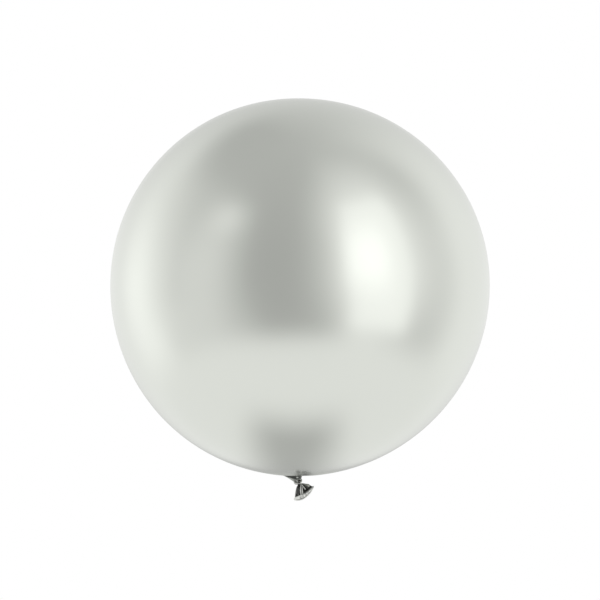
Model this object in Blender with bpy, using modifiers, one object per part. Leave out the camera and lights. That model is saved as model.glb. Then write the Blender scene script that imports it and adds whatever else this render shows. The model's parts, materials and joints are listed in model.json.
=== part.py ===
"""A big round latex balloon, blown up and tied off in its own neck.

Five pieces: the blown-up envelope, the gathered neck under it, the overhand knot
tied in the rolled-up neck, and the pleated tail below the knot with its rolled lip.
The origin is the middle of the ball. +Z is up, and the front view looks along +Y.
Lengths are in metres, written as so many millimetres.
"""

import math

import bmesh
import bpy
from mathutils import Vector

MM = 0.001
AROUND = 48

# The ball: nearly round, flatter at the crown and fuller at the shoulders
BALL_RADIUS = 300 * MM
CROWN_DIP = 1.7 * MM
CROWN_SPREAD = math.radians(25)
SHOULDER_RISE = 0.8 * MM
SHOULDER_ANGLE = math.radians(70)
SHOULDER_SPREAD = math.radians(25)
SKIN_THICKNESS = 0.8 * MM
CROWN_FLAT_RADIUS = 12 * MM
PROFILE_STEPS = 29
TURN_STEPS = 56

# Gap between pieces that touch, and the play of a ball end in its seat
SEAT_GAP = 0.3 * MM
PIVOT_PLAY = 0.4 * MM

# The knot: an overhand knot in a strand that nearly touches itself
STRAND_PITCH = 3.5 * MM
STRAND_RADIUS = 1.48 * MM
KNOT_MIDDLE = Vector((-1.5, 0.2, -310.2)) * MM
STRAND_SUBSTEPS = 4
STRAND_END_RINGS = 3

# Pull points of the strand's smooth route from the neck to the tail, in strand pitches
# from the knot's middle
KNOT_ROUTE = (
    (0.10, -0.15, 2.10),
    (0.10, -0.20, 1.15),
    (-0.05, 0.80, 0.55),
    (-1.45, 0.65, -0.35),
    (-1.45, -0.45, -0.90),
    (0.10, -1.25, -0.65),
    (0.75, -0.80, 0.15),
    (1.10, 0.00, 0.75),
    (0.85, 0.85, 1.55),
    (-0.40, 0.95, 1.70),
    (-1.20, 0.20, 1.00),
    (-0.55, -0.50, 0.25),
    (0.25, 0.05, -0.40),
    (0.20, -0.05, -1.25),
)

# The knot sways about its upper end, and the tail flaps about its lower end
SWAY_POINT = KNOT_MIDDLE + STRAND_PITCH * Vector(KNOT_ROUTE[0])
FLEX_POINT = KNOT_MIDDLE + STRAND_PITCH * Vector(KNOT_ROUTE[-1])

# The gathered neck: a shallow cone under the ball's opening, with a deep wing on its left
OPENING_RADIUS = 24 * MM
COLLAR_RADIUS = 3.4 * MM
COLLAR_ABOVE_PIVOT = 0.5 * MM
POCKET_RADIUS = STRAND_RADIUS + PIVOT_PLAY
NECK_CURVE = 2.2
NECK_PLEATS = 12
NECK_PLEAT_DEPTH = 0.35 * MM
WING_DEPTH = 9.0 * MM
WING_RADIUS = 8.0 * MM
WING_INNER_RADIUS = 6.9 * MM
WING_SHARPNESS = 3

# The tail: a hollow fan on straight lines from the knot to its mouth. The mouth bulges
# away from the knot, hangs lower at the back, and is a little longer on the left.
TAIL_LEAN = math.radians(31.5)
TAIL_ROOT = 1.0 * MM
TAIL_WALL = 1.0 * MM
ROOT_HALF_WIDTH = 3.0 * MM
ROOT_HALF_DEPTH = 2.7 * MM
MOUTH_DISTANCE = 14.5 * MM
MOUTH_SKEW = -0.8 * MM
MOUTH_DROP = 3.1 * MM
MOUTH_BULGE = 3.9 * MM
MOUTH_HALF_WIDTH = 17.7 * MM
MOUTH_HALF_DEPTH = 7.0 * MM
TAIL_ROWS = 9
TAIL_PLEATS = 8
TAIL_PLEAT_DEPTH = 0.09
LOBE_HEIGHT = 3.8 * MM
LOBE_PLACE = 6.4 * MM
LOBE_SPREAD = 2.6 * MM
LIP_RADIUS = 1.15 * MM
LIP_GAP = 0.8 * MM


def clear_scene():
    """Remove the objects, meshes' users first, that the file opened with."""
    for obj in list(bpy.data.objects):
        bpy.data.objects.remove(obj, do_unlink=True)


def make_material(name, colour, roughness, metallic):
    """Return a plain latex material of one colour."""
    material = bpy.data.materials.new(name)
    material.use_nodes = True
    shader = material.node_tree.nodes["Principled BSDF"]
    shader.inputs["Base Color"].default_value = (*colour, 1.0)
    shader.inputs["Roughness"].default_value = roughness
    shader.inputs["Metallic"].default_value = metallic
    return material


def add_object(name, data, material, collection, parent=None):
    """Put data into the scene as a named piece, at its parent's origin if it has one."""
    data.materials.append(material)
    obj = bpy.data.objects.new(name, data)
    collection.objects.link(obj)
    obj.parent = parent
    return obj


def add_pivot(name, place, collection, parent=None):
    """Add an empty at a point given in the whole balloon's frame."""
    pivot = bpy.data.objects.new(name, None)
    pivot.empty_display_size = 5 * MM
    collection.objects.link(pivot)
    pivot.parent = parent
    pivot.location = place - (parent.location if parent else Vector())
    return pivot


def skin_rows(name, rows, start=None, end=None):
    """Return a closed mesh through rows of points, each row a loop of equal count.

    start and end are the tips that close the first and last rows. Without them the
    last row joins the first, as on a tube bent back through itself.
    """
    mesh = bpy.data.meshes.new(name)
    body = bmesh.new()
    loops = [[body.verts.new(point) for point in row] for row in rows]
    pairs = list(zip(loops, loops[1:]))
    if start is None:
        pairs.append((loops[-1], loops[0]))
    count = len(loops[0])
    for upper, lower in pairs:
        for i in range(count):
            j = (i + 1) % count
            body.faces.new((upper[i], upper[j], lower[j], lower[i]))
    for tip, loop in ((start, loops[0]), (end, loops[-1])):
        if tip is None:
            continue
        middle = body.verts.new(tip)
        for i in range(count):
            body.faces.new((middle, loop[i], loop[(i + 1) % count]))
    bmesh.ops.recalc_face_normals(body, faces=body.faces)
    body.to_mesh(mesh)
    body.free()
    mesh.shade_smooth()
    mesh.set_sharp_from_angle(angle=math.radians(50))
    return mesh


def ball_radius(polar):
    """Return the ball's radius at an angle from the crown."""
    dip = CROWN_DIP * math.exp(-((polar / CROWN_SPREAD) ** 2))
    rise = SHOULDER_RISE * math.exp(-(((polar - SHOULDER_ANGLE) / SHOULDER_SPREAD) ** 2))
    return BALL_RADIUS - dip + rise


def ball_profile():
    """Return the envelope's outline at +X, from the flat spot on its crown to its opening."""
    first = math.asin(CROWN_FLAT_RADIUS / ball_radius(0))
    last = math.pi - math.asin(OPENING_RADIUS / BALL_RADIUS)
    points = []
    for step in range(PROFILE_STEPS + 1):
        polar = first + (last - first) * step / PROFILE_STEPS
        radius = ball_radius(polar)
        points.append((radius * math.sin(polar), 0.0, radius * math.cos(polar)))
    return [(0.0, 0.0, points[0][2])] + points


def build_envelope(collection):
    """Turn the ball's outline and give the skin its thickness, inward."""
    points = ball_profile()
    mesh = bpy.data.meshes.new("envelope")
    mesh.from_pydata(points, [(i, i + 1) for i in range(len(points) - 1)], [])
    material = make_material("pearl_latex", (0.60, 0.61, 0.57), 0.28, 0.9)
    envelope = add_object("envelope", mesh, material, collection)
    screw = envelope.modifiers.new("turn", "SCREW")
    screw.steps = TURN_STEPS
    screw.render_steps = TURN_STEPS
    screw.use_merge_vertices = True
    screw.merge_threshold = 0.05 * MM
    screw.use_smooth_shade = True
    solidify = envelope.modifiers.new("skin", "SOLIDIFY")
    solidify.thickness = SKIN_THICKNESS
    solidify.offset = -1.0
    solidify.use_even_offset = True


def neck_drop(share, wing):
    """Return how far the neck's underside lies below the opening's rim.

    share runs from 0 at the rim to 1 at the collar, and wing from 0 to 1 as the
    direction turns to the left, where the wing hangs.
    """
    depth = ball_opening_height() - (SWAY_POINT.z + COLLAR_ABOVE_PIVOT)
    plain = depth * share**NECK_CURVE
    if wing <= 0.0:
        return plain
    tip = (OPENING_RADIUS - WING_RADIUS) / (OPENING_RADIUS - COLLAR_RADIUS)
    inner = (OPENING_RADIUS - WING_INNER_RADIUS) / (OPENING_RADIUS - COLLAR_RADIUS)
    if share <= tip:
        hung = WING_DEPTH * share / tip
    elif share <= inner:
        hung = WING_DEPTH + (0.45 * WING_DEPTH - WING_DEPTH) * (share - tip) / (inner - tip)
    else:
        hung = plain
    return plain + wing * max(0.0, hung - plain)


def ball_opening_height():
    """Return the height of the rim of the ball's opening."""
    return -math.sqrt(BALL_RADIUS**2 - OPENING_RADIUS**2)


def build_neck(collection):
    """Loft the gathered neck from the ball's opening to the collar that the knot hangs in."""
    rim = ball_opening_height()
    collar = SWAY_POINT.z + COLLAR_ABOVE_PIVOT
    top_radius = OPENING_RADIUS - SEAT_GAP
    tip = (OPENING_RADIUS - WING_RADIUS) / (OPENING_RADIUS - COLLAR_RADIUS)
    inner = (OPENING_RADIUS - WING_INNER_RADIUS) / (OPENING_RADIUS - COLLAR_RADIUS)
    shares = (0.0, 0.25, 0.5, tip, inner, 1.0)
    directions = [2 * math.pi * i / AROUND for i in range(AROUND)]

    def ring(radius, height, centre):
        """Return a level ring of points about a centre."""
        return [
            (centre.x + radius * math.cos(d), centre.y + radius * math.sin(d), height)
            for d in directions
        ]

    def underside(share):
        """Return the row of the underside at a share of the way to the collar."""
        radius = top_radius + (COLLAR_RADIUS - top_radius) * share
        row = []
        for d in directions:
            wing = max(0.0, -math.cos(d)) ** WING_SHARPNESS
            pleat = NECK_PLEAT_DEPTH * math.sin(math.pi * share) * math.cos(NECK_PLEATS * d)
            row.append(
                (
                    SWAY_POINT.x * share + radius * math.cos(d),
                    SWAY_POINT.y * share + radius * math.sin(d),
                    rim - neck_drop(share, wing) + pleat,
                )
            )
        return row

    rows = [ring(top_radius, rim + SKIN_THICKNESS, Vector())]
    rows += [underside(share) for share in shares]
    for angle in (0.0, 30.0, 60.0):
        lift = math.radians(angle)
        rows.append(
            ring(
                POCKET_RADIUS * math.cos(lift),
                collar + (POCKET_RADIUS - COLLAR_ABOVE_PIVOT) * math.sin(lift),
                SWAY_POINT,
            )
        )
    pocket_top = Vector((SWAY_POINT.x, SWAY_POINT.y, SWAY_POINT.z + POCKET_RADIUS))
    mesh = skin_rows("neck", rows, Vector((0, 0, rim + SKIN_THICKNESS)), pocket_top)
    material = make_material("gathered_latex", (0.36, 0.37, 0.34), 0.22, 0.9)
    add_object("neck", mesh, material, collection)


def smooth_route(pulls, substeps):
    """Return points on the cubic B-spline of the pull points, from the first to the last."""
    ends = [2 * pulls[0] - pulls[1]] + pulls + [2 * pulls[-1] - pulls[-2]]
    route = []
    for first, second, third, fourth in zip(ends, ends[1:], ends[2:], ends[3:]):
        for step in range(substeps):
            t = step / substeps
            weights = (
                (1 - t) ** 3,
                3 * t**3 - 6 * t**2 + 4,
                -3 * t**3 + 3 * t**2 + 3 * t + 1,
                t**3,
            )
            near = (first, second, third, fourth)
            route.append(sum((w * p / 6 for w, p in zip(weights, near)), Vector()))
    return route + [pulls[-1]]


def rounded_end(point, outward):
    """Return the points and radius factors that close a strand in a half ball."""
    ends = []
    for ring in range(1, STRAND_END_RINGS + 1):
        angle = 0.97 * 0.5 * math.pi * ring / STRAND_END_RINGS
        ends.append((point + outward * STRAND_RADIUS * math.sin(angle), math.cos(angle)))
    return ends


def build_knot(collection, pivot):
    """Tie the strand: a round tube on the knot's route, with a ball at each end."""
    points = [STRAND_PITCH * Vector(place) + KNOT_MIDDLE - SWAY_POINT for place in KNOT_ROUTE]
    route = [(point, 1.0) for point in smooth_route(points, STRAND_SUBSTEPS)]
    upper = rounded_end(route[0][0], (route[0][0] - route[1][0]).normalized())
    lower = rounded_end(route[-1][0], (route[-1][0] - route[-2][0]).normalized())
    route = upper[::-1] + route + lower
    curve = bpy.data.curves.new("knot", "CURVE")
    curve.dimensions = "3D"
    curve.bevel_depth = STRAND_RADIUS
    curve.bevel_resolution = 3
    curve.use_fill_caps = True
    spline = curve.splines.new("POLY")
    spline.points.add(len(route) - 1)
    for target, (point, factor) in zip(spline.points, route):
        target.co = (*point, 1.0)
        target.radius = factor
    material = make_material("knotted_latex", (0.33, 0.34, 0.31), 0.18, 0.9)
    add_object("knot", curve, material, collection, pivot)


def tail_directions():
    """Return unit vectors along the tail, across its width, and to the back."""
    along = Vector((math.sin(TAIL_LEAN), 0.0, -math.cos(TAIL_LEAN)))
    across = Vector((math.cos(TAIL_LEAN), 0.0, math.sin(TAIL_LEAN)))
    return along, across, Vector((0.0, 1.0, 0.0))


def mouth_point(angle, inset):
    """Return a point of the mouth's outline, from the point that the tail flaps about.

    angle goes round the mouth from its right corner, and inset is how far inside the
    outline the point lies.
    """
    along, across, back = tail_directions()
    side = math.cos(angle)
    deep = math.sin(angle)
    distance = MOUTH_DISTANCE + MOUTH_SKEW * side + MOUTH_DROP * deep + MOUTH_BULGE * deep**2
    return (
        along * distance
        + across * (MOUTH_HALF_WIDTH - inset) * side
        + back * (MOUTH_HALF_DEPTH - inset) * deep
    )


def tail_point(share, angle, inset):
    """Return a point of the tail, from the point that it flaps about.

    share runs from 0 at the knot to 1 at the mouth.
    """
    along, across, back = tail_directions()
    side = math.cos(angle)
    deep = math.sin(angle)
    root = (
        along * TAIL_ROOT
        + across * (ROOT_HALF_WIDTH - inset) * side
        + back * (ROOT_HALF_DEPTH - inset) * deep
    )
    line = mouth_point(angle, inset) - root
    distance = TAIL_ROOT + (MOUTH_DISTANCE - TAIL_ROOT) * share
    lobe = LOBE_HEIGHT * math.exp(-(((distance - LOBE_PLACE) / LOBE_SPREAD) ** 2))
    pleat = TAIL_PLEAT_DEPTH * math.sin(math.pi * share) ** 2 * math.cos(TAIL_PLEATS * angle)
    spread = across * side * MOUTH_HALF_WIDTH + back * deep * MOUTH_HALF_DEPTH
    return root + line * share + across * lobe * max(0.0, side) ** 3 + spread * pleat * share


def build_tail(collection, pivot):
    """Loft the hollow tail: down its outside from the knot, and back up its inside."""
    angles = [2 * math.pi * i / AROUND for i in range(AROUND)]
    ends = []
    for angle in angles:
        length = (mouth_point(angle, 0.0) - tail_point(0.0, angle, 0.0)).length
        ends.append(1.0 - (LIP_RADIUS + LIP_GAP) / length)

    def row(share, inset):
        """Return one loop of points at a share of the way to the lip."""
        return [tail_point(share * end, angle, inset) for angle, end in zip(angles, ends)]

    shares = [i / (TAIL_ROWS - 1) for i in range(TAIL_ROWS)]
    outside = [row(share, 0.0) for share in shares]
    inside = [row(share, TAIL_WALL) for share in shares]
    mesh = skin_rows("tail", outside + inside[::-1])
    material = make_material("pleated_latex", (0.36, 0.37, 0.34), 0.20, 0.9)
    add_object("tail", mesh, material, collection, pivot)


def build_lip(collection, pivot):
    """Lay the rolled bead round the tail's mouth."""
    curve = bpy.data.curves.new("lip", "CURVE")
    curve.dimensions = "3D"
    curve.bevel_depth = LIP_RADIUS
    curve.bevel_resolution = 2
    spline = curve.splines.new("POLY")
    spline.points.add(AROUND - 1)
    spline.use_cyclic_u = True
    for i, target in enumerate(spline.points):
        point = mouth_point(2 * math.pi * i / AROUND, 0.5 * TAIL_WALL)
        target.co = (*point, 1.0)
    material = make_material("rolled_latex", (0.50, 0.51, 0.48), 0.25, 0.85)
    add_object("lip", curve, material, collection, pivot)


def main():
    """Build the balloon, piece by piece, from the ball down to the lip."""
    clear_scene()
    collection = bpy.data.collections.new("round_latex_balloon")
    bpy.context.scene.collection.children.link(collection)
    sway = add_pivot("knot_sway_axis", SWAY_POINT, collection)
    flex = add_pivot("tail_flex_axis", FLEX_POINT, collection, sway)
    build_envelope(collection)
    build_neck(collection)
    build_knot(collection, sway)
    build_tail(collection, flex)
    build_lip(collection, flex)


main()
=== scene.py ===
"""Looks of a very large silver latex balloon, tied off in its own neck.

The skin, the knotted strand, the pleated tail and its rolled lip are fine meshes that take
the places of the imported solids, in a plain white studio. Lengths are in metres, written as
so many millimetres; +Z is up and the photograph looks along +Y.
"""

import json
import logging
import math
from dataclasses import dataclass, field
from enum import Enum
from typing import Any

import bpy
import numpy as np
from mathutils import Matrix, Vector


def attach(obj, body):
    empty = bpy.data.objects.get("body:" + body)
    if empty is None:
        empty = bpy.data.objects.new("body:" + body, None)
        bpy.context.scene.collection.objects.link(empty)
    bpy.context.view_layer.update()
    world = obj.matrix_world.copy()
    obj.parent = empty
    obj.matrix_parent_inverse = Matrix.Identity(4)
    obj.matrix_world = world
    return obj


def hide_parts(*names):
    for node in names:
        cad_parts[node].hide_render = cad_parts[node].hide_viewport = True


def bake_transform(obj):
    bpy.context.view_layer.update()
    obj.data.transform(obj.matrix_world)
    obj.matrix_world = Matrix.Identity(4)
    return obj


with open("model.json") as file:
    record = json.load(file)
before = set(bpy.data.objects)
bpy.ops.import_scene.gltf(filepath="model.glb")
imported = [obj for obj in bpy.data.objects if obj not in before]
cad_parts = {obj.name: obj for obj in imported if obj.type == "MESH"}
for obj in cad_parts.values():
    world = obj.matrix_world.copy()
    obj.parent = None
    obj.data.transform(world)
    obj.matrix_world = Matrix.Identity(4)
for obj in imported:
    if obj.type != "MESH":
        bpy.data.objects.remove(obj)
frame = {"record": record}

LOG = logging.getLogger("balloon")
MM = 0.001
PHOTO_PIXELS = 600

Span = tuple[float, float]
Triple = tuple[float, float, float]
Triples = tuple[Triple, ...]


def linear(hex_colour: str) -> tuple[float, float, float, float]:
    """Turn an sRGB hex colour into linear light.

    Args:
        hex_colour: Six hex digits, with or without a hash.

    Returns:
        Red, green, blue and an alpha of 1.
    """
    digits = hex_colour.lstrip("#")
    channels = [int(digits[i:i + 2], 16) / 255 for i in (0, 2, 4)]
    light = [c / 12.92 if c <= 0.04045 else ((c + 0.055) / 1.055) ** 2.4 for c in channels]
    return light[0], light[1], light[2], 1.0


def add_node(tree: Any, kind: str, settings: dict[str, Any] | None = None,
             inputs: dict[Any, Any] | None = None) -> Any:
    """Add one shader node, set its properties and fill or link its inputs.

    Args:
        tree: The node tree that the node goes into.
        kind: Blender's name for the node's type.
        settings: Properties of the node itself.
        inputs: Input sockets by name or number, each with a value or another node's output.

    Returns:
        The new node.
    """
    node = tree.nodes.new(kind)
    for name, value in (settings or {}).items():
        setattr(node, name, value)
    for key, value in (inputs or {}).items():
        socket = node.inputs[key]
        if isinstance(value, bpy.types.NodeSocket):
            tree.links.new(value, socket)
        else:
            socket.default_value = value
    return node


def maths(tree: Any, operation: str, *values: Any, clamp: bool = False) -> Any:
    """Add a math node.

    Args:
        tree: The node tree that the node goes into.
        operation: Blender's name for what the node does.
        values: Its inputs in their order, each a value or another node's output.
        clamp: Whether the result stays between 0 and 1.

    Returns:
        The socket with the result.
    """
    settings = {"operation": operation, "use_clamp": clamp}
    return add_node(tree, "ShaderNodeMath", settings, dict(enumerate(values))).outputs[0]


def mix(tree: Any, share: Any, first: Any, second: Any) -> Any:
    """Add a node that goes from one level to another by a share, and return its result."""
    # The Mix node's levels are its inputs 2 and 3
    return add_node(tree, "ShaderNodeMix", {"data_type": "FLOAT"}, {
        0: share, 2: first, 3: second}).outputs[0]


def fade(tree: Any, value: Any, low: float, high: float) -> Any:
    """Add a node that rises smoothly from 0 at low to 1 at high, and return its result."""
    return add_node(tree, "ShaderNodeMapRange", {"interpolation_type": "SMOOTHSTEP"}, {
        "Value": value, "From Min": low, "From Max": high}).outputs[0]


def smooth_step(value: np.ndarray, low: float, high: float) -> np.ndarray:
    """Rise smoothly from 0 at low to 1 at high."""
    t = np.clip((value - low) / (high - low), 0.0, 1.0)
    return t * t * (3.0 - 2.0 * t)


def bell(value: Any, middle: Any, spread: float) -> Any:
    """Rise smoothly to 1 at the middle and fall away beyond the spread on both sides."""
    return np.exp(-(((value - middle) / spread) ** 2))


def off_left(angle: np.ndarray) -> np.ndarray:
    """Return how far each angle round the axis is from the left, where the wing is."""
    return np.arctan2(np.sin(angle - math.pi), np.cos(angle - math.pi))


def waves(value: Any, parts: Triples) -> Any:
    """Return a sum of sine waves, each part an amplitude, a frequency and a phase."""
    return sum(size * np.sin(pace * value + phase) for size, pace, phase in parts)


def per_metre(millimetres: float) -> float:
    """Return the texture scale whose pattern repeats about every so many millimetres."""
    return 1.0 / (millimetres * MM)


class Reach(Enum):
    """How the two ends of a lofted surface are closed."""

    FIRST_TIP = "first_tip"
    BOTH_TIPS = "both_tips"
    RING = "ring"


def loft(name: str, rows: np.ndarray, reach: Reach, stretch_and_painted_light: np.ndarray | None = None,
         haze: np.ndarray | None = None) -> Any:
    """Make a smooth mesh object through rows of points, each row a closed loop.

    Args:
        name: The piece's name.
        rows: Points, as an array of rows by columns by three.
        reach: How the first and last rows end.
        stretch_and_painted_light: How far the latex is stretched at each point, from 0 to 1, with
            painted shade and painted highlights in it.
        haze: How much rougher than usual the latex is at each point.

    Returns:
        The new object, linked to the scene.
    """
    count, around = rows.shape[:2]
    points = rows.reshape(-1, 3)
    levels = np.ones(count * around) if stretch_and_painted_light is None else stretch_and_painted_light.reshape(-1)
    extra = np.zeros(count * around) if haze is None else haze.reshape(-1)
    faces = []
    for r in range(count if reach is Reach.RING else count - 1):
        below = (r + 1) % count
        for c in range(around):
            beside = (c + 1) % around
            faces.append((r * around + c, below * around + c,
                          below * around + beside, r * around + beside))
    if reach in (Reach.FIRST_TIP, Reach.BOTH_TIPS):
        points = np.vstack([points, rows[0].mean(axis=0)])
        levels = np.append(levels, levels[:around].mean())
        extra = np.append(extra, extra[0])
        tip = len(points) - 1
        faces += [(tip, c, (c + 1) % around) for c in range(around)]
    if reach is Reach.BOTH_TIPS:
        points = np.vstack([points, rows[-1].mean(axis=0)])
        levels = np.append(levels, levels[-around - 1:-1].mean())
        extra = np.append(extra, 0.0)
        tip, last = len(points) - 1, (count - 1) * around
        faces += [(tip, last + (c + 1) % around, last + c) for c in range(around)]
    mesh = bpy.data.meshes.new(name)
    mesh.from_pydata(points.tolist(), [], faces)
    mesh.attributes.new("stretch_and_painted_light", "FLOAT", "POINT").data.foreach_set("value", levels)
    mesh.attributes.new("haze", "FLOAT", "POINT").data.foreach_set("value", extra)
    mesh.shade_smooth()
    obj = bpy.data.objects.new(name, mesh)
    bpy.context.scene.collection.objects.link(obj)
    return obj


def surface_normals(rows: np.ndarray) -> np.ndarray:
    """Return the unit normals of a lofted grid, pointing to its outside."""
    along = np.gradient(rows, axis=0)
    wrapped = np.concatenate([rows[:, -1:], rows, rows[:, :1]], axis=1)
    around = 0.5 * (wrapped[:, 2:] - wrapped[:, :-2])
    normals = np.cross(along, around)
    return normals / np.maximum(np.linalg.norm(normals, axis=2, keepdims=True), 1e-12)


@dataclass(frozen=True)
class Latex:
    """Natural-rubber latex filled with metallic mica, dip-moulded.

    Where it is blown up the mica lies flat and the skin is a pale, soft mirror. Where it
    isn't stretched the mica is packed close, and the latex turns graphite-dark. The level
    that picks the colour also carries painted shade and painted highlights.
    """

    name: str
    stretched: str
    slack: str
    stretched_roughness: float
    slack_roughness: float
    cloud_mm: float
    cloud_strength: float
    grain_mm: float
    grain_height_mm: float
    cloud_detail: float = 3.0
    grain_detail: float = 2.0

    def build(self) -> Any:
        """Return the material."""
        material = bpy.data.materials.new(self.name)
        material.use_nodes = True
        tree = material.node_tree
        shader = tree.nodes["Principled BSDF"]
        shader.inputs["Metallic"].default_value = 1.0
        place = add_node(tree, "ShaderNodeTexCoord").outputs["Object"]
        # The level read here, with painted shade and painted highlights in it, picks the colour
        # and roughness
        stretch_and_painted_light = add_node(tree, "ShaderNodeAttribute", {"attribute_name": "stretch_and_painted_light"})
        clouds = add_node(tree, "ShaderNodeTexNoise", None, {
            "Vector": place, "Scale": per_metre(self.cloud_mm), "Detail": self.cloud_detail})
        drift = maths(tree, "MULTIPLY_ADD", clouds.outputs["Fac"], self.cloud_strength,
                      -0.5 * self.cloud_strength)
        level = maths(tree, "ADD", stretch_and_painted_light.outputs["Fac"], drift, clamp=True)
        # The Mix node's colours are its inputs 6 and 7
        colour = add_node(tree, "ShaderNodeMix", {"data_type": "RGBA"}, {
            0: level, 6: linear(self.slack), 7: linear(self.stretched)})
        rough = add_node(tree, "ShaderNodeMapRange", None, {
            "Value": level, "To Min": self.slack_roughness, "To Max": self.stretched_roughness})
        haze = add_node(tree, "ShaderNodeAttribute", {"attribute_name": "haze"})
        rough = maths(tree, "ADD", rough.outputs[0], haze.outputs["Fac"])
        grain = add_node(tree, "ShaderNodeTexNoise", None, {
            "Vector": place, "Scale": per_metre(self.grain_mm), "Detail": self.grain_detail})
        bump = add_node(tree, "ShaderNodeBump", None, {
            "Height": grain.outputs["Fac"], "Distance": self.grain_height_mm * MM,
            "Strength": 1.0})
        tree.links.new(colour.outputs[2], shader.inputs["Base Color"])
        tree.links.new(rough, shader.inputs["Roughness"])
        tree.links.new(bump.outputs[0], shader.inputs["Normal"])
        return material


# Blown-up latex: a pale, faintly green silver with soft reflections
BLOWN_LATEX = Latex(
    "blown_up_pearl_latex", stretched="#E7EAE3", slack="#101112",
    stretched_roughness=0.22, slack_roughness=0.16,
    cloud_mm=9.0, cloud_strength=0.02, grain_mm=5.0, grain_height_mm=0.004)
# Unstretched latex: graphite to silver, and glossier; its levels put painted shade in the folds
# and painted highlights on the ridges
KNOTTED_LATEX = Latex(
    "unstretched_pearl_latex", stretched="#F1F2ED", slack="#0D0E0F",
    stretched_roughness=0.16, slack_roughness=0.22,
    cloud_mm=3.0, cloud_strength=0.08, grain_mm=0.9, grain_height_mm=0.006)
# The rolled edge: several layers of latex wound into a bead
ROLLED_LATEX = Latex(
    "rolled_latex_bead", stretched="#F4F5F1", slack="#2A2B2C",
    stretched_roughness=0.55, slack_roughness=0.45,
    cloud_mm=2.5, cloud_strength=0.10, grain_mm=0.6, grain_height_mm=0.01)


def wear(obj: Any, finish: Any) -> None:
    """Give a piece its one material."""
    obj.data.materials.append(finish)


@dataclass
class Joints:
    """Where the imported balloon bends, read from its record."""

    sway: Vector = field(init=False)
    flex: Vector = field(init=False)
    across: Vector = field(init=False)

    def __post_init__(self) -> None:
        """Read both hinges."""
        found = {joint["name"]: joint for joint in frame["record"]["behaviour"]["joints"]}
        self.sway = Vector(found["knot_sway"]["pos_m"])
        self.flex = Vector(found["tail_flex"]["pos_m"])
        self.across = Vector(found["tail_flex"]["axis"]).normalized()

    @property
    def along(self) -> Vector:
        """The way the tail points."""
        return Vector((0.0, 1.0, 0.0)).cross(self.across)


@dataclass(frozen=True)
class Folds:
    """Uneven folds gathered round the neck.

    Drift moves them from their even spacing and unevenness changes their height, both in
    waves round the neck. A sharpness below 1 squares off their ridges.
    """

    count: int = 15
    drift: Triples = ((0.99, 2, 0.7), (0.66, 3, 1.61))
    unevenness: Triples = ((0.25, 3, 0.7), (0.18, 5, -0.7))
    sharpness: float = 0.8
    tallest: float = 1.3

    def at(self, angle: np.ndarray) -> np.ndarray:
        """Return the folds at some angles, from -1 in the valleys to 1 on the ridges."""
        wave = np.cos(self.count * angle + waves(angle, self.drift))
        size = 1.0 + waves(angle, self.unevenness)
        ridge = np.sign(wave) * np.abs(wave) ** self.sharpness
        return np.clip(ridge * size / self.tallest, -1.0, 1.0)


@dataclass(frozen=True)
class Cheek:
    """The fold that bulges on the front of the neck, just above the knot."""

    across: float = -3.5 * MM
    high: float = -302.1 * MM
    half_width: float = 1.7 * MM
    half_height: float = 1.0 * MM
    rise: float = 0.7 * MM

    def at(self, rows: np.ndarray, spread: float) -> np.ndarray:
        """Return the bump, as wide and as high as the fold times the spread."""
        bump = (bell(rows[..., 0], self.across, self.half_width * spread)
                * bell(rows[..., 2], self.high, self.half_height * spread))
        return np.where(rows[..., 1] < 0, bump, 0.0)


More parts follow.
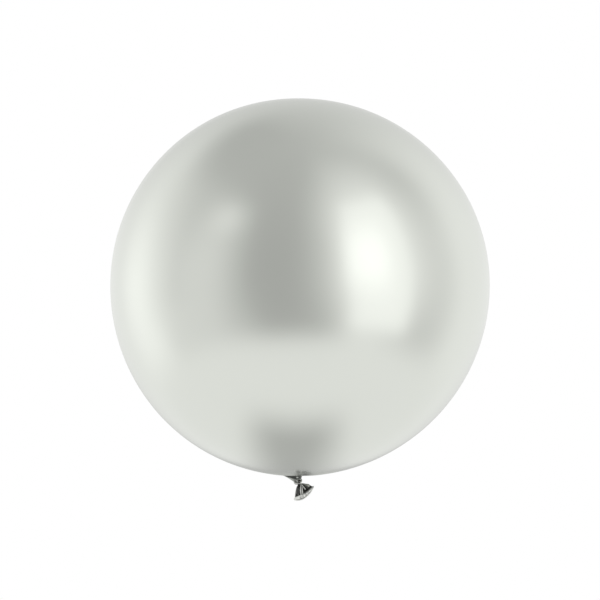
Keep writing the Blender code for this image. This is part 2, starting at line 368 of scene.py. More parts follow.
@dataclass(frozen=True)
class SkinTensionAndPaintedLight:
    """How far the skin is stretched, from 0 where it is slack to 1 where it is blown up, with
    painted shade and painted highlights round the neck.

    Each reach is where a change starts and where it is complete: by the distance from the
    axis on the ball and the funnel, and by the depth below the ball's middle on the neck.
    """

    crown_slack: float = 0.10
    crown_reach: Span = (4 * MM, 26 * MM)
    foot_level: float = 0.60
    foot_rise: float = 0.32
    foot_reach: Span = (20 * MM, 50 * MM)
    belly_rise: float = 0.08
    belly_reach: Span = (60 * MM, 150 * MM)
    foot_painted_shade: float = 0.52
    patch_place: Span = (9 * MM, -46 * MM)
    patch_size: Span = (10 * MM, 14 * MM)
    # The fold, web and funnel contrasts put painted shade in the fold valleys and painted light
    # on their ridges
    fold_contrast: float = 0.10
    fold_reach: Span = (12 * MM, 34 * MM)
    web_level: float = 0.41
    web_contrast: float = 0.18
    web_spread: float = 0.744
    hem_painted_highlight: float = 0.15
    hem_spread: float = 0.20
    crease_depth: float = 306.4 * MM
    crease_slope: float = 0.30
    crease_width: float = 1.4 * MM
    funnel_level: float = 0.20
    funnel_rise: float = 0.42
    funnel_contrast: float = 0.3
    funnel_reach: Span = (5 * MM, 23 * MM)
    collar_painted_highlight: float = 0.40
    collar_start: Span = (304.1 * MM, 304.9 * MM)
    collar_end: Span = (305.2 * MM, 306.0 * MM)
    collar_hang: float = 1.3 * MM
    collar_right: Span = (0.0, 1.5 * MM)
    # Painted shade round the cheek fold, and a painted highlight on it
    cheek_shade: float = 0.90
    cheek_shade_spread: float = 2.8
    cheek_shade_reach: Span = (300.2 * MM, 301.4 * MM)
    cheek_painted_highlight: float = 1.2
    cheek_highlight_spread: float = 0.9
    neck_from: float = 0.12
    neck_from_at_wing: float = 0.10

    def on_ball(self, rows: np.ndarray, out: np.ndarray, wave: np.ndarray) -> np.ndarray:
        """Return the ball's level: a little less at the crown, and less at the foot, with a
        painted shade on the front right of the foot.
        """
        crown = 1.0 - self.crown_slack * (1.0 - smooth_step(out, *self.crown_reach))
        foot = self.foot_level + self.foot_rise * smooth_step(out, *self.foot_reach)
        foot = foot + self.belly_rise * smooth_step(out, *self.belly_reach)
        # Painted shade on the front right of the foot, near the neck
        foot = foot - (self.foot_painted_shade
                       * bell(rows[..., 0], self.patch_place[0], self.patch_size[0])
                       * bell(rows[..., 1], self.patch_place[1], self.patch_size[1]))
        # Painted shade in the fold valleys, painted light on their ridges
        foot = foot + self.fold_contrast * wave * (1.0 - smooth_step(out, *self.fold_reach))
        return np.where(rows[..., 2] > 0, crown, foot)

    def on_wing(self, rows: np.ndarray, lean: np.ndarray, wave: np.ndarray) -> np.ndarray:
        """Return the wing's level: painted shade above its crease, and a painted highlight at its
        hem.
        """
        # Painted shade along the crease under the ball, and a painted highlight along the hem
        crease = self.crease_depth + self.crease_slope * rows[..., 0]
        low = smooth_step(-rows[..., 2] - crease, 0.0, self.crease_width)
        hem = bell(lean, 0.0, self.hem_spread)
        return (self.web_level + self.web_contrast * wave + self.hem_painted_highlight * hem) * low

    def on_funnel(self, rows: np.ndarray, out: np.ndarray, wave: np.ndarray) -> np.ndarray:
        """Return the level of the funnel round the neck, and the painted highlight band round the
        collar at its end.
        """
        depth = -rows[..., 2]
        rise = self.funnel_rise * smooth_step(out, *self.funnel_reach)
        funnel = self.funnel_level + rise * (1.0 + self.funnel_contrast * wave)
        # A painted highlight band round the collar, hanging lower on the right
        hang = self.collar_hang * smooth_step(rows[..., 0], *self.collar_right)
        collar = (smooth_step(depth, *self.collar_start)
                  * (1.0 - smooth_step(depth - hang, *self.collar_end)))
        return funnel + self.collar_painted_highlight * collar

    def at(self, rows: np.ndarray, share: np.ndarray, lean: np.ndarray, wave: np.ndarray,
           cheek: Cheek) -> np.ndarray:
        """Return the level at every point of the skin, with its painted shade and painted
        highlights.

        Args:
            rows: The skin's points.
            share: How far down the neck each row is, from 0 on the ball to 1.
            lean: How far each column is from the left side, where the wing is.
            wave: The folds at each column.
            cheek: The fold above the knot.

        Returns:
            Levels from 0 to 1, one for each point.
        """
        out = np.hypot(rows[..., 0], rows[..., 1])
        wing = bell(lean, 0.0, self.web_spread)
        neck = (self.on_wing(rows, lean, wave) * wing
                + self.on_funnel(rows, out, wave) * (1.0 - wing))
        # Painted shade round the cheek, and a painted highlight on it
        shade = (cheek.at(rows, self.cheek_shade_spread)
                 * smooth_step(-rows[..., 2], *self.cheek_shade_reach))
        neck = neck * (1.0 - self.cheek_shade * shade)
        neck = neck + self.cheek_painted_highlight * cheek.at(rows, self.cheek_highlight_spread)
        mix = smooth_step(share, 0.0, self.neck_from + self.neck_from_at_wing * wing)
        return np.clip(self.on_ball(rows, out, wave) * (1.0 - mix) + neck * mix, 0.0, 1.0)


@dataclass
class BalloonSkin:
    """The blown-up skin, from the crown round to the gathered neck and its wing.

    Collar right and left are how far the neck's end reaches each way, collar deep how far
    to the front and the back. The higher its powers, the later the neck turns downwards.
    """

    joints: Joints
    radius: float = 300 * MM
    first_row: float = math.radians(0.6)
    crown_dip: float = 1.7 * MM
    crown_spread: float = math.radians(25)
    shoulder_rise: float = 0.8 * MM
    shoulder_angle: float = math.radians(70)
    shoulder_spread: float = math.radians(25)
    lean: float = -0.38 * MM
    three_sided: float = 0.7 * MM
    gather_radius: float = 27.0 * MM
    collar_right: float = 4.1 * MM
    collar_left: float = 8.25 * MM
    collar_deep: float = 3.3 * MM
    collar_drop: float = 2.0 * MM
    wing_drop: float = 4.1 * MM
    wing_spread: float = 0.62
    wing_power: float = 1.14
    plain_power: float = 3.2
    tuck_rows: int = 6
    tuck_drop: float = 1.1 * MM
    tuck_share: float = 0.55
    tuck_right: float = 0.6
    gathers: Folds = Folds()
    fold_height: float = 0.42 * MM
    fold_reach: Span = (12 * MM, 42 * MM)
    fold_start: float = 0.35
    fold_peak: float = 0.8
    fold_end: Span = (0.45, 0.80)
    cheek: Cheek = Cheek()
    tension_and_painted_light: SkinTensionAndPaintedLight = SkinTensionAndPaintedLight()
    haze: float = 0.18
    haze_reach: Span = (50 * MM, 85 * MM)
    wall: float = 0.4 * MM
    bend_above: float = 2.5 * MM
    bend_below: float = 5.5 * MM
    around: int = 240
    ball_rows: int = 110
    neck_rows: int = 44

    def ball_radius(self, polar: np.ndarray) -> np.ndarray:
        """Return the ball's radius at angles from the crown."""
        dip = self.crown_dip * bell(polar, 0.0, self.crown_spread)
        rise = self.shoulder_rise * bell(polar, self.shoulder_angle, self.shoulder_spread)
        return self.radius - dip + rise

    def ball_rows_of(self, angle: np.ndarray) -> np.ndarray:
        """Return the rows of the ball, from the crown to the gathered neck."""
        last = math.pi - math.asin(self.gather_radius / self.radius)
        polar = np.linspace(self.first_row, last, self.ball_rows)
        side = np.sin(polar)[:, None] * np.cos(angle)
        down = -np.cos(polar)[:, None]
        radius = (self.ball_radius(polar)[:, None] + self.lean * 2 * side * down
                  + self.three_sided * (side ** 3 - 3 * side * down ** 2))
        out = radius * np.sin(polar)[:, None]
        return np.stack([out * np.cos(angle), out * np.sin(angle), -radius * down], axis=2)

    def collar(self, angle: np.ndarray, wing: np.ndarray) -> np.ndarray:
        """Return the edge that the neck runs down to, pulled out and down at the wing."""
        left = self.collar_right + (self.collar_left - self.collar_right) * wing
        side = np.where(np.cos(angle) > 0, self.collar_right, left)
        sway = self.joints.sway
        return np.stack([sway.x + side * np.cos(angle), sway.y + self.collar_deep * np.sin(angle),
                         sway.z - self.collar_drop - self.wing_drop * wing], axis=1)

    def neck_rows_of(self, angle: np.ndarray, start: np.ndarray) -> np.ndarray:
        """Return the rows of the gathered neck, from the ball down to its tucked-in collar."""
        wing = bell(off_left(angle), 0.0, self.wing_spread)
        end = self.collar(angle, wing)
        power = 1.0 + (self.plain_power - 1.0) * (1.0 - wing)
        fall = self.wing_power + (self.plain_power - self.wing_power) * (1.0 - wing)
        rows = []
        for t in np.linspace(0.0, 1.0, self.neck_rows)[1:]:
            inward = (1.0 - (1.0 - t) ** power)[:, None]
            down = (t ** fall)[:, None]
            flat = start[:, :2] + (end[:, :2] - start[:, :2]) * inward
            height = start[:, 2:] + (end[:, 2:] - start[:, 2:]) * down
            rows.append(np.concatenate([flat, height], axis=1))
        middle = np.array(self.joints.sway)[:2]
        tuck = self.tuck_share * (1.0 - self.tuck_right * np.clip(np.cos(angle), 0.0, 1.0))
        for turn in np.linspace(0.0, 0.5 * math.pi, self.tuck_rows + 1)[1:]:
            shrink = 1.0 - tuck[:, None] * (1.0 - math.cos(turn))
            flat = middle + (end[:, :2] - middle) * shrink
            height = end[:, 2:] - self.tuck_drop * math.sin(turn)
            rows.append(np.concatenate([flat, height], axis=1))
        return np.array(rows)

    def build(self) -> Any:
        """Return the skin's object, wrinkled round the neck."""
        angle = 2 * np.pi * np.arange(self.around) / self.around
        ball = self.ball_rows_of(angle)
        neck = self.neck_rows_of(angle, ball[-1])
        rows = np.concatenate([ball, neck])
        out = np.hypot(rows[..., 0], rows[..., 1])
        below = rows[..., 2] < 0
        creep = np.where(below, 1.0 - smooth_step(out, *self.fold_reach), 0.0)
        share = np.concatenate([np.zeros(self.ball_rows), np.linspace(0, 1, len(neck))])
        swell = self.fold_start + (1.0 - self.fold_start) * np.sin(np.pi * self.fold_peak * share)
        swell = swell * (1.0 - smooth_step(share, *self.fold_end))
        wave = self.gathers.at(angle)[None, :]
        bump = (creep * swell[:, None] * wave * self.fold_height
                + self.cheek.at(rows, 1.0) * self.cheek.rise)
        rows = rows + surface_normals(rows) * bump[..., None]
        # Levels of the skin, with painted shade and painted highlights round the neck
        levels = self.tension_and_painted_light.at(rows, share[:, None], off_left(angle)[None, :], wave, self.cheek)
        haze = np.where(below, self.haze * (1.0 - smooth_step(out, *self.haze_reach)), 0.0)
        return loft("balloon_skin", rows, Reach.FIRST_TIP, levels, haze)

    def dress(self, obj: Any, finish: Any) -> None:
        """Give the skin its wall and finish, and hide the imported envelope and neck."""
        wall = obj.modifiers.new("wall", "SOLIDIFY")
        wall.thickness = self.wall
        wall.offset = -1.0
        wear(obj, finish)
        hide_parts("envelope", "neck")
        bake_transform(obj)


@dataclass
class KnotStrand:
    """The rolled-up neck, tied in an overhand knot.

    The route's points are in units of the pitch from the knot's middle. Its colour carries
    painted shade in the middle of the knot, where the strands cross, and underneath, and
    painted light away from the middle, on the right and along the lobes.
    """

    joints: Joints
    pitch: float = 3.5 * MM
    radius: float = 1.98 * MM
    middle: Vector = field(default_factory=lambda: Vector((-0.9, 0.2, -309.4)) * MM)
    lobes: int = 7
    lobe_depth: float = 0.11
    lobe_sink: float = 0.4
    broad_lobes: int = 3
    broad_share: float = 0.5
    broad_twist: float = 0.6
    thickness: Triples = ((0.05, 900.0, 0.0), (0.03, 1700.0, 1.0))
    hollow_painted_shade: float = 0.05
    outer_level_rise: float = 0.80
    lobe_painted_light: float = 0.22
    right_painted_highlight: float = 0.50
    right_reach: Span = (0.6 * MM, 2.4 * MM)
    underside_painted_shade: float = 0.80
    under_reach: Span = (0.1, 0.8)
    twist: float = 260.0
    hollow_shade_reach: float = 0.6 * MM
    hollow_shade_end: float = 3.2 * MM
    around: int = 40
    substeps: int = 14
    route: Triples = (
        (-0.07, -0.15, 1.87), (-0.07, -0.20, 1.10), (-0.25, 0.80, 0.55), (-2.00, 0.65, 0.05),
        (-2.00, -0.45, -0.63), (0.05, -1.25, -0.53), (0.78, -0.98, -0.20), (0.98, -0.30, 0.52),
        (0.70, 0.85, 1.36), (-0.50, 0.95, 1.45), (-1.35, 0.20, 0.95), (-0.60, -0.50, 0.25),
        (0.40, 0.05, -0.35), (0.37, -0.05, -0.83))

    def centreline(self) -> np.ndarray:
        """Return points along the strand, on the cubic B-spline of its pull points."""
        pulls = np.array(self.route) * self.pitch + np.array(self.middle)
        pulls = np.vstack([2 * pulls[0] - pulls[1], pulls, 2 * pulls[-1] - pulls[-2]])
        t = (np.arange(self.substeps) / self.substeps)[:, None]
        points = []
        for a, b, c, d in zip(pulls, pulls[1:], pulls[2:], pulls[3:]):
            points.append(((1 - t) ** 3 * a + (3 * t ** 3 - 6 * t ** 2 + 4) * b
                           + (-3 * t ** 3 + 3 * t ** 2 + 3 * t + 1) * c + t ** 3 * d) / 6)
        return np.concatenate(points)

    def build(self) -> Any:
        """Return the strand's object."""
        line = self.centreline()
        tangents = np.gradient(line, axis=0)
        tangents /= np.linalg.norm(tangents, axis=1, keepdims=True)
        side = np.cross(tangents[0], (0.0, 1.0, 0.0))
        run = np.concatenate([[0], np.cumsum(np.linalg.norm(np.diff(line, axis=0), axis=1))])
        angle = 2 * np.pi * np.arange(self.around) / self.around
        rows, levels = [], []
        for point, tangent, length in zip(line, tangents, run):
            side = side - tangent * np.dot(side, tangent)
            side /= np.linalg.norm(side)
            other = np.cross(tangent, side)
            turn = self.twist * length
            broad = np.cos(self.broad_lobes * angle - self.broad_twist * turn)
            lobe = np.cos(self.lobes * angle + turn) + self.broad_share * broad
            size = self.radius * (1.0 + waves(length, self.thickness))
            high = lobe / (1.0 + self.broad_share) - self.lobe_sink
            out = size * (1.0 + self.lobe_depth * high)
            way = np.cos(angle)[:, None] * side + np.sin(angle)[:, None] * other
            ring = point + out[:, None] * way
            far = np.hypot(ring[:, 0] - self.middle.x, ring[:, 2] - self.middle.z)
            clear_of_hollow = smooth_step(far, self.hollow_shade_reach, self.hollow_shade_end)
            right = smooth_step(ring[:, 0], *self.right_reach)
            under = smooth_step(-way[:, 2], *self.under_reach) * (1.0 - right)
            # Painted shade in the knot's middle and underneath; painted light on the right and
            # along the lobes
            level = (self.hollow_painted_shade + self.outer_level_rise * clear_of_hollow + self.lobe_painted_light * lobe
                     + self.right_painted_highlight * right)
            rows.append(ring)
            levels.append(np.clip(level * (1.0 - self.underside_painted_shade * under), 0.0, 1.0))
        return loft("knot_strand", np.array(rows), Reach.BOTH_TIPS, np.array(levels))

    def dress(self, obj: Any, finish: Any) -> None:
        """Give the strand its finish and its body."""
        wear(obj, finish)
        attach(obj, "knot")
        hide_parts("knot")


@dataclass(frozen=True)
class Pleat:
    """One ridge of the fan, with a painted highlight along its top.

    Places and half widths are shares of the fan's half width: the ridge leaves the knot at
    one place and reaches the lip at another. First and last are where it starts and ends,
    as shares of the way from the knot to the lip. The higher its curl, the nearer to the
    knot it bends across.
    """

    place_at_knot: float
    place_at_lip: float
    half_width: float
    height: float
    painted_light: float
    first: float
    last: float
    curl: float = 3.0


@dataclass
class PleatedTail:
    """The end of the neck below the knot: a hollow, pleated fan that runs down to the lip."""

    joints: Joints
    neck_start: float = -2.6 * MM
    neck_radius: float = 2.7 * MM
    neck_steps: tuple[float, ...] = (0.0, 0.35, 0.7)
    neck_taper: Span = (0.74, 0.50)
    root: float = -0.8 * MM
    root_aside: float = 0.9 * MM
    root_half_width: float = 3.6 * MM
    root_half_depth: float = 2.5 * MM
    flare: float = 0.76
    mouth_distance: float = 14.5 * MM
    mouth_skew: float = -0.8 * MM
    mouth_drop: float = 3.1 * MM
    mouth_bulge: float = 3.9 * MM
    mouth_twist: float = -1.0 * MM
    mouth_half_width: float = 17.8 * MM
    mouth_half_depth: float = 6.5 * MM
    lobe_height: float = 1.4 * MM
    lobe_place: float = 7.2 * MM
    lobe_spread: float = 2.8 * MM
    lobe_power: int = 3
    wall: float = 0.5 * MM
    lip_overlap: float = 0.575 * MM
    ridge_start: float = 0.12
    ridge_end: float = 0.10
    ridge_sink: float = 0.6
    valley_painted_shade: float = 0.05
    inside_level: float = 0.82
    inside_contrast: float = 0.18
    root_level: float = 0.2
    root_share: float = 0.11
    bend_above: float = 0.9 * MM
    bend_below: float = 3.0 * MM
    around: int = 576
    rows: int = 64
    crowding: float = 1.5
    front: tuple[Pleat, ...] = (
        Pleat(-0.99, -0.99, 0.09, 0.2 * MM, 0.80, 0.02, 1.10),
        Pleat(-0.60, -0.80, 0.022, 0.3 * MM, 0.60, 0.10, 0.75),
        Pleat(-0.30, -0.58, 0.020, 0.3 * MM, 0.50, 0.20, 1.10),
        Pleat(0.55, -0.21, 0.13, 0.3 * MM, 0.50, -0.10, 1.10),
        Pleat(0.45, -0.29, 0.045, 0.8 * MM, 1.00, -0.10, 1.10),
        Pleat(0.68, -0.10, 0.045, 0.8 * MM, 1.00, -0.10, 1.10, 2.0),
        Pleat(0.62, 0.34, 0.055, 0.9 * MM, 1.00, -0.10, 0.80),
        Pleat(0.75, 0.60, 0.020, 0.4 * MM, 0.25, 0.30, 0.90),
        Pleat(0.90, 0.86, 0.15, 0.5 * MM, 0.80, 0.02, 0.82))
    back: tuple[Pleat, ...] = (
        Pleat(-0.92, -0.92, 0.05, 0.3 * MM, 0.50, 0.10, 0.90),
        Pleat(-0.50, -0.62, 0.09, 0.8 * MM, 0.80, 0.00, 1.10),
        Pleat(-0.20, -0.30, 0.03, 0.4 * MM, 0.60, 0.20, 0.80),
        Pleat(0.10, -0.05, 0.06, 0.7 * MM, 0.95, -0.10, 1.10),
        Pleat(0.22, 0.22, 0.03, 0.4 * MM, 0.70, 0.30, 1.10),
        Pleat(0.40, 0.48, 0.08, 0.8 * MM, 0.85, 0.05, 1.10),
        Pleat(0.80, 0.80, 0.06, 0.4 * MM, 0.55, 0.20, 0.90))

    def place(self, forward: Any, aside: Any, deep: Any) -> np.ndarray:
        """Return points from their distances along the tail, across it and to the back."""
        ways = (self.joints.along, self.joints.across, (0.0, 1.0, 0.0))
        parts = zip(np.broadcast_arrays(forward, aside, deep), ways)
        return np.array(self.joints.flex) + sum(d[..., None] * np.array(way) for d, way in parts)

    def rim(self, angle: np.ndarray) -> np.ndarray:
        """Return the middle of the rolled lip: its far side hangs lower than its near side."""
        side, deep = np.cos(angle), np.sin(angle)
        reach = (self.mouth_distance + self.mouth_skew * side + self.mouth_drop * deep
                 + self.mouth_bulge * deep ** 2 + self.mouth_twist * side * deep)
        return self.place(reach, self.mouth_half_width * side, self.mouth_half_depth * deep)

    def fan(self, angle: np.ndarray) -> tuple[np.ndarray, np.ndarray]:
        """Return the fan's smooth rows down to the lip, and each row's share of the way."""
        side, deep = np.cos(angle), np.sin(angle)
        root = self.place(self.root, self.root_aside + self.root_half_width * side,
                          self.root_half_depth * deep)
        rim = self.rim(angle)
        length = np.linalg.norm(rim - root, axis=1, keepdims=True)
        last = 1.0 - self.lip_overlap / length
        rows, shares = [], []
        narrow, widening = self.neck_taper
        for step in self.neck_steps:
            radius = self.neck_radius * (narrow + widening * step)
            forward = self.neck_start + (self.root - self.neck_start) * step
            rows.append(self.place(forward, self.root_aside + radius * side, radius * deep))
            shares.append(0.0)
        across = np.array(self.joints.across)
        for share in np.linspace(0.0, 1.0, self.rows) ** self.crowding:
            row = root + (rim - root) * share * last
            spread = ((rim - root) @ across) * (share ** self.flare - share)
            row = row + spread[:, None] * across
            forward = self.root + (self.mouth_distance - self.root) * share
            lobe = bell(forward, self.lobe_place, self.lobe_spread)
            out = self.lobe_height * lobe * np.clip(side, 0.0, 1.0) ** self.lobe_power
            rows.append(row + out[:, None] * across)
            shares.append(float(share))
        return np.array(rows), np.array(shares)

    def pleats(self, angle: np.ndarray, shares: np.ndarray) -> tuple[np.ndarray, np.ndarray]:
        """Return how high the pleats stand, and their painted light: painted highlights on the
        ridges and painted shade in the valleys.
        """
        side, way = np.cos(angle)[None, :], shares[:, None]
        height = np.zeros((len(shares), len(angle)))
        # Painted shade in the valleys, painted highlights on the ridges
        painted_light = np.full_like(height, self.valley_painted_shade)
        for ridges, shown in ((self.front, np.sin(angle) < 0), (self.back, np.sin(angle) >= 0)):
            for ridge in ridges:
                bend = (ridge.place_at_knot - ridge.place_at_lip) * (1.0 - way) ** ridge.curl
                across = bell(side, ridge.place_at_lip + bend, ridge.half_width) * shown[None, :]
                run = (smooth_step(way, ridge.first, ridge.first + self.ridge_start)
                       * (1.0 - smooth_step(way, ridge.last - self.ridge_end, ridge.last)))
                height += ridge.height * across * run * (1.0 - self.ridge_sink * way)
                painted_light = np.maximum(painted_light, ridge.painted_light * across * run)
        return height, painted_light

    def build(self) -> Any:
        """Return the fan's object: its pleated outside, and its inside, which is painted light,
        lighter on the right, with painted shade deep in the root.
        """
        angle = 2 * np.pi * np.arange(self.around) / self.around
        rows, shares = self.fan(angle)
        height, painted_light = self.pleats(angle, shares)
        normals = surface_normals(rows)
        outside = rows + normals * height[..., None]
        inside = (outside - normals * self.wall)[::-1]
        # Painted light inside the mouth, lighter on the right, and painted shade deep in the root
        bright = np.ones_like(painted_light) * (self.inside_level + self.inside_contrast * np.cos(angle))
        bright[shares[::-1] < self.root_share] = self.root_level
        return loft("pleated_tail", np.concatenate([outside, inside]), Reach.BOTH_TIPS,
                    np.concatenate([painted_light, bright]))

    def dress(self, obj: Any, finish: Any) -> None:
        """Give the fan its finish, and hide the imported tail."""
        wear(obj, finish)
        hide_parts("tail")
        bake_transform(obj)


@dataclass
class RolledLip:
    """The bead that the latex is rolled into round the mouth of the tail.

    Painted shade darkens it at its near side on the right and at its far side on the left.
    A groove runs along it, where the roll ends, with painted shade in it.
    """

    tail: PleatedTail
    radius: float = 1.15 * MM
    unevenness: Triples = ((0.04, 7, 0.0), (0.03, 17, 1.0))
    left_reach: Span = (-0.20, 0.60)
    left_swell: float = 0.10
    groove_place: float = 3.6
    groove_spread: float = 0.3
    groove_depth: float = 0.15
    groove_shade: float = 0.12
    corner_shade: float = 0.35
    corner_power: int = 4
    plain_level: float = 1.05
    near_shade: float = 0.82
    near_power: float = 0.5
    far_shade: float = 0.45
    flecks: Triples = ((0.06, 23, 0.0),)
    around: int = 20

    def shade(self, angle: np.ndarray, left: np.ndarray) -> np.ndarray:
        """Return the bead's level at each angle round the mouth, with its painted shade."""
        corner = self.corner_shade * np.clip(np.cos(angle), 0.0, 1.0) ** self.corner_power
        near = np.clip(corner - np.sin(angle), 0.0, 1.0) ** self.near_power
        level = self.plain_level - self.near_shade * near * (1.0 - left)
        return level - self.far_shade * left * np.clip(np.sin(angle), 0.0, 1.0)

    def build(self) -> Any:
        """Return the lip's object, a bead that follows the mouth."""
        angle = 2 * np.pi * np.arange(self.tail.around) / self.tail.around
        path = self.tail.rim(angle)
        forward = np.roll(path, -1, axis=0) - np.roll(path, 1, axis=0)
        forward /= np.linalg.norm(forward, axis=1, keepdims=True)
        outward = path - path.mean(axis=0)
        outward -= forward * (outward * forward).sum(axis=1, keepdims=True)
        outward /= np.linalg.norm(outward, axis=1, keepdims=True)
        mouth = np.cross(forward, outward)
        left = smooth_step(-np.cos(angle), *self.left_reach)
        swell = 1.0 + waves(angle, self.unevenness) + self.left_swell * left
        shade = self.shade(angle, left) + waves(angle, self.flecks)
        rows, levels = [], []
        for turn in 2 * np.pi * np.arange(self.around) / self.around:
            apart = turn - self.groove_place
            groove = bell(math.atan2(math.sin(apart), math.cos(apart)), 0.0, self.groove_spread)
            size = self.radius * swell * (1.0 - self.groove_depth * groove)
            way = math.cos(turn) * outward + math.sin(turn) * mouth
            rows.append(path + size[:, None] * way)
            # Painted shade in the groove
            levels.append(np.clip(shade - self.groove_shade * groove, 0.0, 1.0))
        return loft("rolled_lip", np.array(rows), Reach.RING, np.array(levels))

    def dress(self, obj: Any, finish: Any) -> None:
        """Give the lip its finish and its body."""
        wear(obj, finish)
        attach(obj, "tail")
        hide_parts("lip")


@dataclass(frozen=True)
class Glow:
    """A soft patch of light or shade in the studio, by its direction from the balloon.

    Angles are in degrees: azimuth 0 is the camera's side and 90 is to its right.
    """

    name: str
    azimuth: float
    half_width: float
    side_fade: float
    elevation: float
    half_height: float
    end_fade: float
    level: float


@dataclass
class Studio:
    """A white studio round the balloon: walls, a softbox on the right, a dark camera side."""

    wall_level: float = 0.922
    backdrop_level: float = 1.0
    floor_level: float = 0.89
    horizon: float = -29.5
    horizon_fade: float = 18.0
    # The patch is a painted shadow below the balloon, in the studio's light
    patch_level: float = 0.50
    patch_least_drop: float = 0.001
    patch_middle: float = -0.03
    patch_widths: Triple = (0.324, -0.18, 0.06)
    patch_side_fade: float = 0.36
    patch_front_fade: float = 0.65
    patch_end: float = -10.0
    patch_end_fade: float = 14.0
    floor_height: float = -1.05
    floor_radius: float = 1.85
    floor_fade: float = 0.45
    floor_middle: float = 0.2
    floor_rings: int = 5
    floor_sides: int = 96
    floor_colour: str = "#E8E8E6"
    key_power: float = 190.0
    key_size: float = 1.6
    key_place: Triple = (0.4, -1.6, 5.4)
    glows: tuple[Glow, ...] = (
        Glow("wall_behind", -177.8, 26.6, 49.1, 52, 41, 24, 0.69),
        Glow("left_backdrop", -99.1, 26.6, 35.8, 0.8, 21, 52, 1.38),
        Glow("upper_left", -89.9, 77.7, 30.7, 68, 20, 22, 0.48),
        Glow("left_wall", -80.7, 21.5, 89.9, 18, 38.5, 43, 0.63),
        Glow("camera_side", -7.2, 35.8, 35.8, 20, 82, 15, 0.46),
        Glow("right_gap", 76.7, 23.1, 41.9, -0.6, 50, 6, 0.61),
        Glow("ceiling", 0, 200, 1, 90, 34.6, 88, 0.53),
        Glow("softbox_glow", 64.4, 48.5, 33.7, 51.7, 11.7, 49.5, 0.57),
        Glow("softbox_halo", 52.1, 30.7, 58.3, 21, 37.7, 51, 1.0),
        Glow("softbox", 51.3, 20.1, 11.2, 12, 36.4, 11, 1.11),
        Glow("softbox_core", 42.5, 13.8, 12.8, 16, 16, 25.5, 1.31),
        Glow("left_lamp", -52.6, 5.3, 37.5, 37, 7.5, 11.6, 0.93),
        Glow("low_left", -59.9, 34.2, 21, -30.4, 9, 62.7, 0.68),
        Glow("low_behind", 180, 22, 30, -15, 8, 18, 0.79))

    def build_world(self) -> None:
        """Paint the studio's light by direction, and show the camera plain white."""
        world = bpy.data.worlds.new("white_studio")
        world.use_nodes = True
        bpy.context.scene.world = world
        tree = world.node_tree
        tree.nodes.clear()
        way = add_node(tree, "ShaderNodeSeparateXYZ", None, {
            0: add_node(tree, "ShaderNodeTexCoord").outputs["Generated"]})
        front = maths(tree, "MULTIPLY", way.outputs["Y"], -1.0)
        azimuth = maths(tree, "ARCTAN2", way.outputs["X"], front)
        elevation = maths(tree, "ARCSINE", way.outputs["Z"])
        level: Any = self.wall_level
        for glow in self.glows:
            side = self.band(tree, azimuth, glow.azimuth, glow.half_width, glow.side_fade)
            end = self.band(tree, elevation, glow.elevation, glow.half_height, glow.end_fade)
            mask = maths(tree, "MULTIPLY", side, end)
            mask.node.label = glow.name
            level = mix(tree, mask, level, glow.level)
        low = fade(tree, elevation, math.radians(self.horizon + 0.5 * self.horizon_fade),
                   math.radians(self.horizon - 0.5 * self.horizon_fade))
        level = mix(tree, low, level, self.floor_level)
        # Painted shadow under the balloon, seen only in reflections
        level = mix(tree, self.patch(tree, way, elevation), level, self.patch_level)
        seen = add_node(tree, "ShaderNodeLightPath").outputs["Is Camera Ray"]
        level = mix(tree, seen, level, self.backdrop_level)
        light = add_node(tree, "ShaderNodeBackground", None, {
            "Color": (1.0, 1.0, 1.0, 1.0), "Strength": level})
        add_node(tree, "ShaderNodeOutputWorld", None, {"Surface": light.outputs[0]})

    def patch(self, tree: Any, way: Any, elevation: Any) -> Any:
        """Return the mask of the painted shadow under the balloon, a dark patch in the studio's
        light that narrows to the back.

        Args:
            tree: The world's node tree.
            way: The node that splits the direction into X, Y and Z.
            elevation: The socket with the direction's elevation.

        Returns:
            The socket with the mask.
        """
        down = maths(tree, "MULTIPLY", way.outputs["Z"], -1.0)
        down = maths(tree, "MAXIMUM", down, self.patch_least_drop)
        aside = maths(tree, "DIVIDE", way.outputs["X"], down)
        away = maths(tree, "DIVIDE", way.outputs["Y"], down)
        apart = maths(tree, "ABSOLUTE", maths(tree, "SUBTRACT", aside, self.patch_middle))
        width, narrowing, flare = self.patch_widths
        half = maths(tree, "MULTIPLY_ADD", away, flare, narrowing)
        half = maths(tree, "MULTIPLY_ADD", away, half, width)
        over = maths(tree, "SUBTRACT", half, apart)
        mask: Any = 1.0
        for value, middle, edge in (
                (over, 0.0, self.patch_side_fade), (away, 0.0, self.patch_front_fade),
                (elevation, math.radians(self.patch_end), -math.radians(self.patch_end_fade))):
            step = fade(tree, value, middle - 0.5 * edge, middle + 0.5 * edge)
            mask = maths(tree, "MULTIPLY", step, mask)
        return mask

    @staticmethod
    def band(tree: Any, value: Any, middle: float, half: float, edge: float) -> Any:
        """Return a mask that is 1 within so many degrees of the middle, with a soft edge."""
        apart = maths(tree, "SUBTRACT", value, math.radians(middle))
        apart = maths(tree, "ABSOLUTE", maths(tree, "WRAP", apart, math.pi, -math.pi))
        return fade(tree, apart, math.radians(half + 0.5 * edge), math.radians(half - 0.5 * edge))

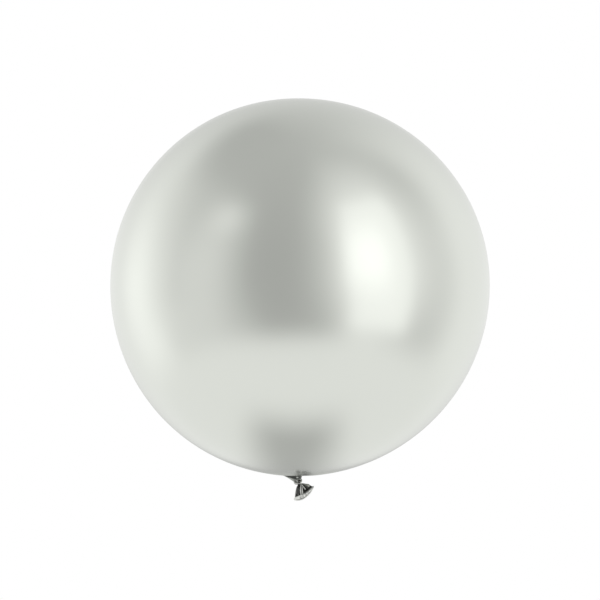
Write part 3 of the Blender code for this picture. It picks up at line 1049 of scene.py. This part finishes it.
    def build_floor(self) -> None:
        """Lay a round pale floor that melts into the backdrop and hides nothing from below."""
        ring = 2 * np.pi * np.arange(self.floor_sides) / self.floor_sides
        radii = np.linspace(self.floor_middle, 1.0, self.floor_rings) * self.floor_radius
        rows = np.array([np.stack([r * np.cos(ring), r * np.sin(ring),
                                   np.full_like(ring, self.floor_height)], axis=1)
                         for r in radii])
        floor = loft("studio_floor", rows, Reach.FIRST_TIP)
        material = bpy.data.materials.new("matt_white_paper")
        material.use_nodes = True
        tree = material.node_tree
        tree.nodes.clear()
        place = add_node(tree, "ShaderNodeTexCoord").outputs["Object"]
        flat = add_node(tree, "ShaderNodeVectorMath", {"operation": "MULTIPLY"}, {
            0: place, 1: (1.0, 1.0, 0.0)})
        out = add_node(tree, "ShaderNodeVectorMath", {"operation": "LENGTH"}, {
            0: flat.outputs[0]})
        edge = fade(tree, out.outputs["Value"], self.floor_radius * (1 - self.floor_fade),
                    self.floor_radius)
        paper = add_node(tree, "ShaderNodeBsdfDiffuse", None, {
            "Color": linear(self.floor_colour)})
        white = add_node(tree, "ShaderNodeEmission", None, {"Color": (1.0, 1.0, 1.0, 1.0)})
        blend = add_node(tree, "ShaderNodeMixShader", None, {
            0: edge, 1: paper.outputs[0], 2: white.outputs[0]})
        clear = add_node(tree, "ShaderNodeBsdfTransparent")
        under = add_node(tree, "ShaderNodeNewGeometry").outputs["Backfacing"]
        final = add_node(tree, "ShaderNodeMixShader", None, {
            0: under, 1: blend.outputs[0], 2: clear.outputs[0]})
        add_node(tree, "ShaderNodeOutputMaterial", None, {"Surface": final.outputs[0]})
        wear(floor, material)
        # Reflections don't see the floor; the studio's light paints the floor and a shadow on it
        # for them
        floor.visible_glossy = False

    def build_key(self) -> None:
        """Hang a soft key light overhead, whose only trace is the shadow on the floor."""
        light = bpy.data.lights.new("overhead_key", "AREA")
        light.shape = "DISK"
        light.size = self.key_size
        light.energy = self.key_power
        lamp = bpy.data.objects.new("overhead_key", light)
        bpy.context.scene.collection.objects.link(lamp)
        lamp.location = self.key_place
        lamp.rotation_euler = (-Vector(self.key_place)).to_track_quat("-Z", "Y").to_euler()
        lamp.visible_camera = False
        lamp.visible_glossy = False


@dataclass
class Camera:
    """The photograph's view: level, from far off, the ball's middle a little above the centre."""

    distance: float = 7.0
    ball_pixels: float = 379.0
    ball_width: float = 600 * MM
    middle_x: float = 299.6
    middle_y: float = 286.7
    sensor: float = 36.0

    def build(self) -> None:
        """Make the scene's camera."""
        radius = 0.5 * self.ball_width
        limb = radius / math.sqrt(self.distance ** 2 - radius ** 2)
        half_frame = limb * PHOTO_PIXELS / self.ball_pixels
        data = bpy.data.cameras.new("photo_camera")
        data.sensor_width = self.sensor
        data.lens = 0.5 * self.sensor / half_frame
        camera = bpy.data.objects.new("photo_camera", data)
        bpy.context.scene.collection.objects.link(camera)
        scale = 2 * half_frame * self.distance / PHOTO_PIXELS
        camera.location = ((0.5 * PHOTO_PIXELS - self.middle_x) * scale, -self.distance,
                           (self.middle_y - 0.5 * PHOTO_PIXELS) * scale)
        camera.rotation_euler = (math.radians(90), 0.0, 0.0)
        bpy.context.scene.camera = camera


def main() -> None:
    """Build the balloon's looks, piece by piece, and its studio."""
    logging.basicConfig(level=logging.INFO, format="%(message)s")
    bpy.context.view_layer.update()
    bpy.context.scene.view_settings.view_transform = "Standard"
    Camera().build()
    studio = Studio()
    studio.build_world()
    studio.build_floor()
    studio.build_key()
    joints = Joints()
    blown, knotted, rolled = BLOWN_LATEX.build(), KNOTTED_LATEX.build(), ROLLED_LATEX.build()
    tail = PleatedTail(joints)
    pieces = ((BalloonSkin(joints), blown), (KnotStrand(joints), knotted), (tail, knotted),
              (RolledLip(tail), rolled))
    for part, finish in pieces:
        piece = part.build()
        part.dress(piece, finish)
        LOG.info("%s: %d points", piece.name, len(piece.data.vertices))


if __name__ == "__main__":
    main()
